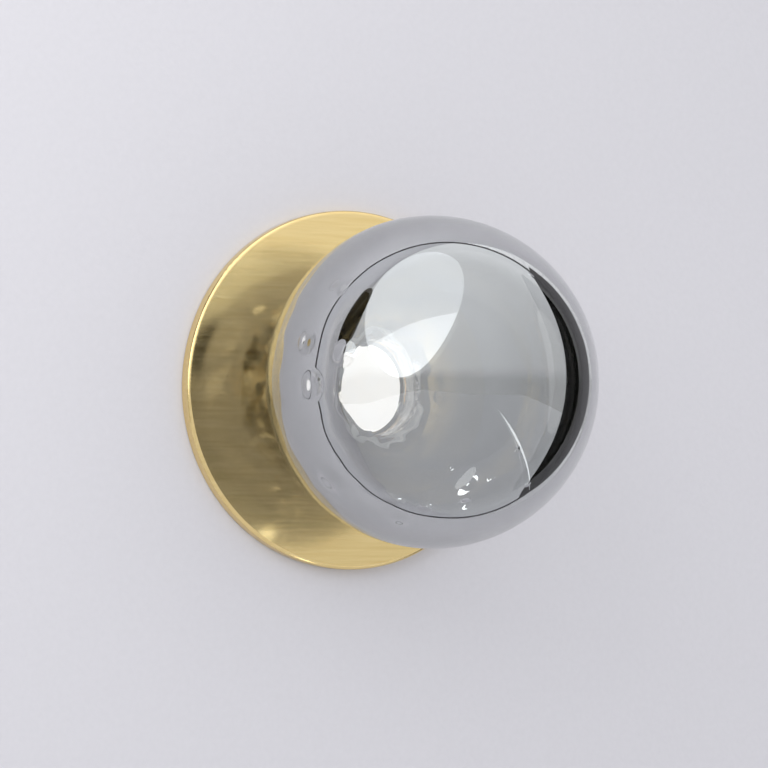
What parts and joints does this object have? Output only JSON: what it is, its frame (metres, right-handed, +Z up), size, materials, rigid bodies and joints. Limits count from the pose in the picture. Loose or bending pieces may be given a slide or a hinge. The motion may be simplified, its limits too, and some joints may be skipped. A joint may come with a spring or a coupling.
{
  "type": "globe wall sconce",
  "caption": "Wall sconce: a thick ball of smoked glass that screws by its collar onto a brass cup on a round brass back plate, over an opal disc light",
  "frame": {"origin": "The middle of the back plate's wall side, on the wall's surface, midway between the two wall slots.", "axes": "+X along the line of the two wall slots, to the right as seen from the room; +Y into the wall; +Z up. The light stands out along -Y."},
  "size_m": [0.17, 0.1798, 0.17],
  "materials": {
    "satin_brass": "satin, finely brushed, lacquered",
    "dark_foam": "closed-cell foam, matt",
    "zinc_sheet": "zinc-plated sheet",
    "zinc_screw": "zinc-plated, bright",
    "black_rubber": "moulded, matt",
    "grey_pad": "soft heat-conducting pad",
    "board_aluminium": "white solder mask on aluminium",
    "led_phosphor": "phosphor under clear resin, lit",
    "white_plastic": "moulded, matt",
    "opal_plastic": "opal, lit from behind",
    "spring_steel": "bright rolled strip",
    "clear_silicone": "translucent silicone, satin",
    "grey_cement": "cast resin cement, matt",
    "smoked_glass": "thick clear glass over a smoked, half-mirrored inner surface, polished",
    "green_laminate": "glass-fibre laminate with solder mask",
    "dark_component": "moulded component bodies",
    "natural_plastic": "natural polyamide, semi-matt",
    "terminal_brass": "turned, bright",
    "tinned_copper": "tin-plated",
    "red_sleeve": "lead insulation, satin",
    "black_sleeve": "lead insulation, satin",
    "brown_sleeve": "lead insulation, satin",
    "blue_sleeve": "lead insulation, satin",
    "green_yellow_sleeve": "lead insulation, green with a yellow stripe"
  },
  "bodies": {
    "wall_part": {"back_plate": "satin_brass", "wall_gasket": "dark_foam", "mounting_bracket": "zinc_sheet", "fitter_cup": "satin_brass", "cup_screws": "zinc_screw", "plate_screws": "zinc_screw", "plate_screw_washers": "zinc_screw", "lead_grommet": "black_rubber", "thermal_pad": "grey_pad", "led_board": "board_aluminium", "led_chips": "led_phosphor", "board_connector": "white_plastic", "board_screws": "zinc_screw", "diffuser": "opal_plastic", "diffuser_clips": "spring_steel", "clip_screws": "zinc_screw", "driver_case": "white_plastic", "driver_cover": "white_plastic", "driver_board": "green_laminate", "driver_components": "dark_component", "driver_screws": "zinc_screw", "terminal_block": "natural_plastic", "terminal_inserts": "terminal_brass", "terminal_screws": "zinc_screw", "terminal_fixing_screw": "zinc_screw", "earth_tag": "tinned_copper", "earth_washer": "zinc_screw", "earth_screw": "zinc_screw", "led_lead_positive": "red_sleeve", "led_lead_negative": "black_sleeve", "live_lead": "brown_sleeve", "neutral_lead": "blue_sleeve", "earth_lead": "green_yellow_sleeve"},
    "seal_ring": {"neck_seal": "clear_silicone"},
    "globe": {"globe_glass": "smoked_glass", "globe_collar": "satin_brass", "collar_cement": "grey_cement"}
  },
  "joints": [
    {"name": "globe_draw", "type": "slide", "parent": "wall_part", "child": "seal_ring", "axis": [0, -1, 0], "range_m": [0, 0.0042]},
    {"name": "globe_turn", "type": "hinge", "parent": "seal_ring", "child": "globe", "pos_m": [0, 0, 0], "axis": [0, -1, 0], "range_deg": [0, 370]}
  ],
  "couplings": [
    {"joint": "globe_draw", "follows": "globe_turn", "m_per_rad": 0.00063662}
  ]
}
